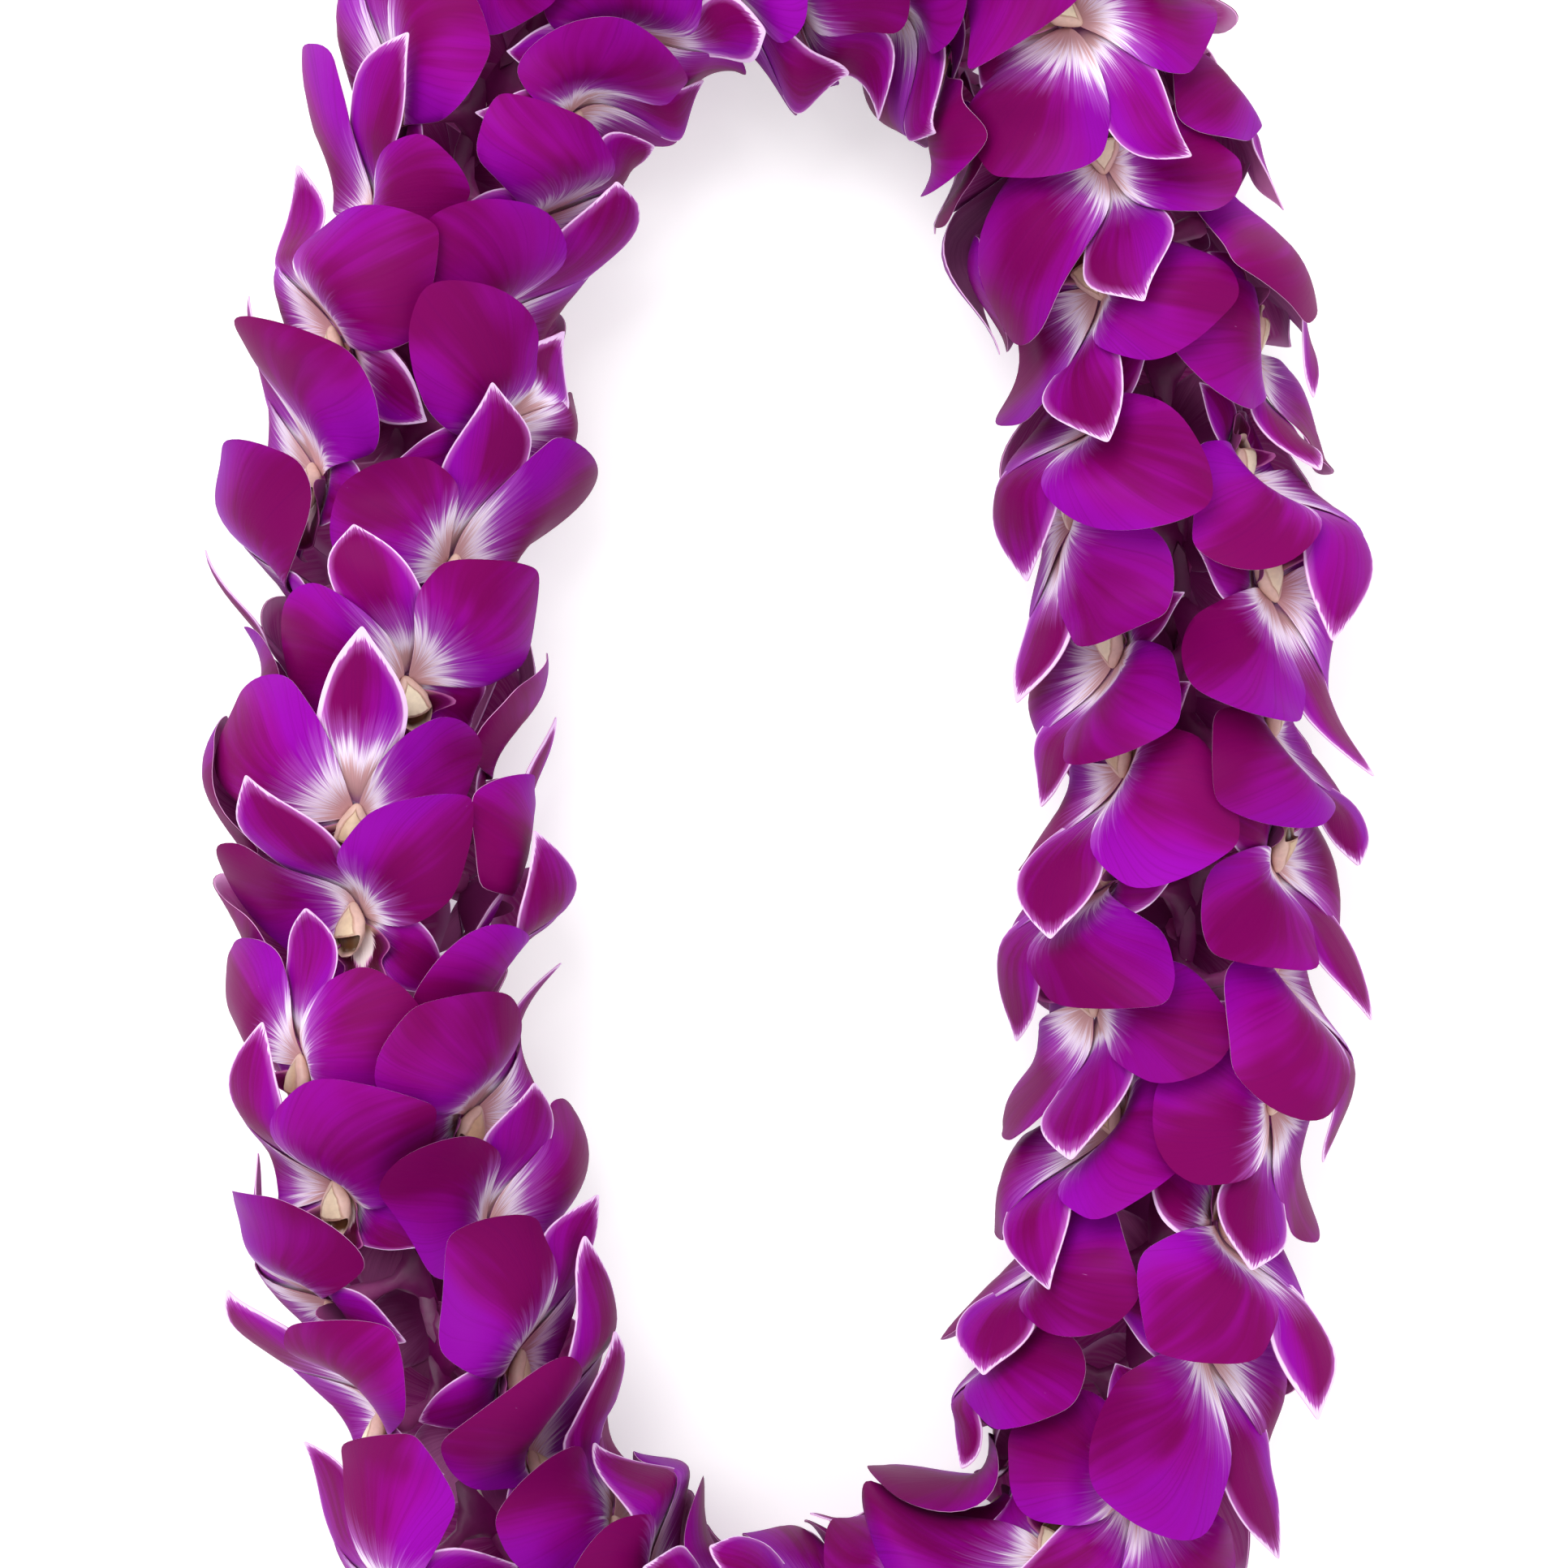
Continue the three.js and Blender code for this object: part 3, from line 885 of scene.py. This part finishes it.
# How every organ is shaped, where a place along it is 0 at its base and 1 at its tip
organForm = {
    "baseOut": 1.2,  # its base, from the middle of the bloom
    "hubRadius": 3.6,  # where its length is measured from and its lift starts
    "sideLift": 0.3,  # the share of it left on a bloom that looks sideways
    "liftShare": 0.5,  # the mean of it, and how far a draw takes it from there
    "liftSpread": 0.5,
    "crownShare": 0.5,
    "crownSpread": 0.7,
    "pointSpan": (0.6, 1.0),
    "outwardSpan": (0.15, 0.65),  # where crown, waves and groove come in
    "waves": 1.6,  # along each edge
    "waveShift": 1.3,  # radians that the waves of one edge are ahead, and of the other behind
    "sideTurn": 0.9,  # how far it twists on a bloom that looks sideways, where 1 is most
    "turnSpread": 0.5,
    "twistDepth": 1.2,  # how far a twisted organ's other edge may sink
    "grooveDepth": 0.35,
    "grooveWidth": 0.09,
    "middleWall": 0.75,  # how thick it is in its middle, and at its edge
    "edgeWall": 0.32,
}


def lipRelief(share, across, width):
    lobes = ramp(share, *lip["lobeStart"]) * ramp(share, *lip["lobeEnd"])
    dip = ramp(share, *lip["dipSpan"]) * (1 - lip["dipFlat"] * width)
    crest = ridge(across, lip["crestWidth"]) * ramp(share, *lip["crestEnd"])
    return lip["lobeHeight"] * lobes * width**3 - lip["dipDepth"] * dip + lip["crestHeight"] * crest


# One petal, sepal or lip of a bloom, before it is bent round the thread
def shapeOrgan(bloom, shape, number, heading):
    form = organForm
    first = firstOrganTrait + len(organTraits) * number
    drawn = {name: draw(bloom["index"], first + i) for i, name in enumerate(organTraits)}
    blade = shape["blade"]
    share = (blade["y"] + 1) / 2
    across = blade["x"]
    # Its outline
    length = shape["length"] * bloom["size"] * (1 + lei["sizeSpread"] * drawn["length"])
    widthScale = bloom["size"] * (1 + lei["sizeSpread"] * drawn["width"])
    out = form["baseOut"] + (form["hubRadius"] + length - form["baseOut"]) * share
    pointed = 1 - shape["point"] * (1 + drawn["point"]) * ramp(share, *form["pointSpan"])
    side = -across * curve(shape["shares"], shape["halfWidths"], share) * widthScale * pointed
    fromMiddle = side / (max(shape["halfWidths"]) * widthScale)
    width = np.abs(fromMiddle)
    # It lifts and twists only where it points back and its bloom doesn't look down
    upright = 1 - max(-math.sin(bloom["angle"]), 0)
    backward = max(math.sin(heading), 0)
    lift = form["sideLift"] + (1 - form["sideLift"]) * math.sin(bloom["angle"]) ** 2
    lift = lift * (form["liftShare"] + form["liftSpread"] * drawn["lift"]) * upright * backward
    liftPlace = np.clip((out - form["hubRadius"]) / length, 0, 1)
    up = shape["level"] + shape["lift"] * lift * liftPlace**3
    # It twists, most of all on a bloom that looks sideways, so that its face turns up
    turned = np.clip(form["sideTurn"] * math.cos(bloom["angle"]) + form["turnSpread"] * drawn["turn"], -1, 1)
    standing = abs(turned) * (1 - share) + turned * fromMiddle
    standing = standing * upright * backward**0.5 * share**1.5
    up = up + np.maximum(shape["flare"] * standing, -form["twistDepth"])
    # Its sides bend down, its edges wave, and a groove runs along its middle
    outward = ramp(share, *form["outwardSpan"])
    crown = shape["crown"] * (form["crownShare"] + form["crownSpread"] * drawn["crown"])
    phase = math.pi * drawn["wave"] + form["waveShift"] * np.sign(across)
    ripple = shape["wave"] * np.sin(2 * math.pi * form["waves"] * share + phase)
    groove = form["grooveDepth"] * ridge(across, form["grooveWidth"]) * (1 - share)
    up = up + outward * (ripple * width**2.5 - crown * width**2 - groove)
    if shape is lip:
        up = up + lipRelief(share, across, width)
    edge = np.hypot(blade["x"], blade["y"])
    wall = form["middleWall"] + (form["edgeWall"] - form["middleWall"]) * edge**3
    up = up + np.where(blade["top"], wall / 2, -wall / 2)
    side = side + shape["sickle"] * drawn["sickle"] * share**2
    sideways = out * math.cos(heading) - side * math.sin(heading)
    lengthwise = out * math.sin(heading) + side * math.cos(heading)
    return keepAbove(bloomPoint(bloom, sideways, lengthwise, up), blade["top"])


column = {
    "halfWidth": 4.3,
    "halfLength": 5.7,
    "halfHeight": 2.9,  # clear of the lip's lobes
    "middle": -1.8,  # from the throat, where below 0 is towards the lip
    "level": 3.6,  # over the throat
    "slope": 0.5,  # how steeply its front stands up
    "backSpan": (-0.1, 1.0),  # where it narrows, of its half length
    "backNarrow": 0.42,
    "backFlat": 0.3,
    "waistPlace": -0.02,
    "waistLength": 0.1,
    "waistNarrow": 0.07,
}


# The middle of a bloom, with its sideways, lengthwise and upward directions
def bloomFrame(bloom):
    step = 0.5
    steps = np.array([[0, 0, 0], [step, 0, 0], [0, step, 0]])
    here, beside, ahead = bloomPoint(bloom, *steps.T)
    right = (beside - here) / np.linalg.norm(beside - here)
    up = np.cross(right, ahead - here)
    up = up / np.linalg.norm(up)
    return here, right, np.cross(up, right), up


def shapeColumn(bloom):
    x, y, z = columnHood["points"].T
    here, right, forward, up = bloomFrame(bloom)
    narrow = 1 - column["backNarrow"] * ramp(y, *column["backSpan"])
    narrow = narrow - column["waistNarrow"] * ridge(y - column["waistPlace"], column["waistLength"])
    sideways = column["halfWidth"] * x * narrow
    lengthwise = column["middle"] + column["halfLength"] * y
    height = column["halfHeight"] * z * (1 - column["backFlat"] * ramp(y, 0, 1))
    height = column["level"] + height - column["slope"] * lengthwise
    turn = bloom["roll"]
    across = sideways * math.cos(turn) - lengthwise * math.sin(turn)
    along = sideways * math.sin(turn) + lengthwise * math.cos(turn)
    return here + across[:, None] * right + along[:, None] * forward + height[:, None] * up


stalk = {
    "headDrop": 0.6,  # its head, below the throat
    "footAhead": 4,  # its foot, further along the thread than its bloom
    "footPast": 1.6,  # and past the thread's middle
    "shares": [0, 0.15, 0.35, 0.7, 1],
    "radii": [3.6, 3.3, 2.0, 1.8, 3.1],
    "endRound": 0.45,
    "footSpan": (0.6, 0.95),
    "footStretch": 3.5,  # the feet crowd along the thread and hide it
    "bow": 1.5,
}


# A stalk runs from under the throat down to the thread, which goes through its foot
def shapeStalk(bloom):
    down = stalkTube["down"]
    turn = stalkTube["turn"]
    here, right, forward, up = bloomFrame(bloom)
    head = here - stalk["headDrop"] * up
    foot = strandPoint(bloom["along"] + stalk["footAhead"], -stalk["footPast"], bloom["row"])
    direction = foot - head
    direction = direction / np.linalg.norm(direction)
    ahead = strandPoint(bloom["along"] + 1, 0, 0) - strandPoint(bloom["along"] - 1, 0, 0)
    sideways = np.cross(direction, ahead)
    sideways = sideways / np.linalg.norm(sideways)
    ahead = np.cross(sideways, direction)
    bow = stalk["bow"] * np.sin(math.pi * down) * draw(bloom["index"], bloomTraits["stalkBow"])
    middle = head + (foot - head) * down[:, None] + ahead * bow[:, None]
    sphere = np.sqrt(np.clip(4 * down * (1 - down), 0, 1))
    radius = curve(stalk["shares"], stalk["radii"], down) * sphere ** stalk["endRound"]
    stretch = 1 + stalk["footStretch"] * ramp(down, *stalk["footSpan"])
    around = np.cos(turn)[:, None] * sideways + (stretch * np.sin(turn))[:, None] * ahead
    return middle + radius[:, None] * around


smoothAngle = math.radians(60)


# Joins the copies of one whorl to one piece
def joined(parts, name):
    deselectAll()
    for part in parts:
        part.select_set(True)
    bpy.context.view_layer.objects.active = parts[0]
    bpy.ops.object.join()
    bpy.ops.object.shade_smooth_by_angle(angle=smoothAngle)
    piece = parts[0]
    piece.name = name
    piece.data.name = name
    piece.select_set(False)
    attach(piece, "root")
    return piece


toneShares = {"organ": 0.6, "bloom": 0.4}  # how much an organ's tone is its own, and how much its bloom's


def buildBloom(index, parts):
    bloom = bloomPlace(index)
    heading = math.pi / 2 + bloom["roll"]
    bloomTone = toneShares["bloom"] * draw(index, toneTraits["bloom"])
    for number, shape in enumerate(organs):
        if number:
            heading += math.radians(organs[number - 1]["spread"] + shape["spread"])
        points = shapeOrgan(bloom, shape, number, heading)
        tone = toneShares["organ"] * draw(index, toneTraits["firstOrgan"] + number) + bloomTone
        if shape is lip:
            parts["lips"].append(copyOf(shape["blade"], points, lipVelvet, {"tone": tone}))
        else:
            values = {"tone": tone, "rim": shape["rim"]}
            parts["petals"].append(copyOf(shape["blade"], points, petalSkin, values))
    columnTone = draw(index, toneTraits["column"])
    parts["columns"].append(copyOf(columnHood, shapeColumn(bloom), columnWax, {"tone": columnTone}))
    parts["stalks"].append(copyOf(stalkTube, shapeStalk(bloom), stalkSkin, {}))


slots = {"petals": "petal", "lips": "lip", "columns": "column", "stalks": "stalk"}
for whorl in range(lei["whorls"]):
    parts = {kind: [] for kind in slots}
    for number in range(lei["bloomsPerWhorl"]):
        buildBloom(whorl * lei["bloomsPerWhorl"] + number, parts)
    for kind, slot in slots.items():
        piece = joined(parts[kind], f"{kind}_{whorl + 1:02d}")
        if kind == "petals":
            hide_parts(f"blooms_{whorl + 1:02d}")
for template in (petalDisc, sepalDisc, lipDisc, columnHood, stalkTube):
    bpy.data.objects.remove(template["item"])
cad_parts["thread"].material_slots[0].material = threadCotton
print("blooms placed")

# Camera, floor and light, in metres
studio = {
    "lens": 85,
    "filmWidth": 36,
    "frameWidth": 0.338,  # of the picture at the height of the blooms
    "bloomHeight": 0.05,
    "loopInPicture": (0.0004, -0.0047),  # the loop's centre, from the middle of the picture
    "nearest": 0.01,
    "floorSize": 6,
    "floorDrop": 0.0003,
    "floorColour": (0.75, 0.75, 0.75, 1),
    "floorRoughness": 0.9,
    "floorGlow": 0.46,
    # Name, place, size and power
    "lights": [
        ("keyLight", (-0.5, 0.7, 1.5), 1.0, 17),
        ("fillLight", (0.9, -0.6, 1.3), 1.4, 4),
    ],
    "white": (1, 1, 1, 1),
    "worldStrength": 0.98,
}


def makeCamera():
    distance = studio["frameWidth"] * studio["lens"] / studio["filmWidth"]
    x = offset[0] - studio["loopInPicture"][0]
    y = offset[1] - studio["loopInPicture"][1]
    deselectAll()
    bpy.ops.object.camera_add(location=(x, y, studio["bloomHeight"] + distance), rotation=(0, 0, 0))
    camera = bpy.context.object
    camera.data.lens = studio["lens"]
    camera.data.clip_start = studio["nearest"]
    bpy.context.scene.camera = camera


def makeFloor():
    deselectAll()
    bpy.ops.mesh.primitive_plane_add(size=studio["floorSize"], location=(0, 0, -studio["floorDrop"]))
    floor = bpy.context.object
    floor.name = "floor"
    material, tree, shader = newMaterial("floorPaper")
    shader.inputs["Base Color"].default_value = studio["floorColour"]
    shader.inputs["Roughness"].default_value = studio["floorRoughness"]
    shader.inputs["Emission Color"].default_value = studio["white"]
    shader.inputs["Emission Strength"].default_value = studio["floorGlow"]
    floor.data.materials.append(material)


def makeLight(name, location, size, power):
    deselectAll()
    bpy.ops.object.light_add(type="AREA", location=location)
    light = bpy.context.object
    light.name = name
    light.data.size = size
    light.data.energy = power
    aim = -light.location
    light.rotation_euler = aim.to_track_quat("-Z", "Y").to_euler()


def makeWorld():
    world = bpy.data.worlds.new("studioAir")
    bpy.context.scene.world = world
    world.use_nodes = True
    background = world.node_tree.nodes["Background"]
    background.inputs["Color"].default_value = studio["white"]
    background.inputs["Strength"].default_value = studio["worldStrength"]


makeCamera()
makeFloor()
for light in studio["lights"]:
    makeLight(*light)
makeWorld()
bpy.context.scene.view_settings.view_transform = "Standard"
print("studio set")
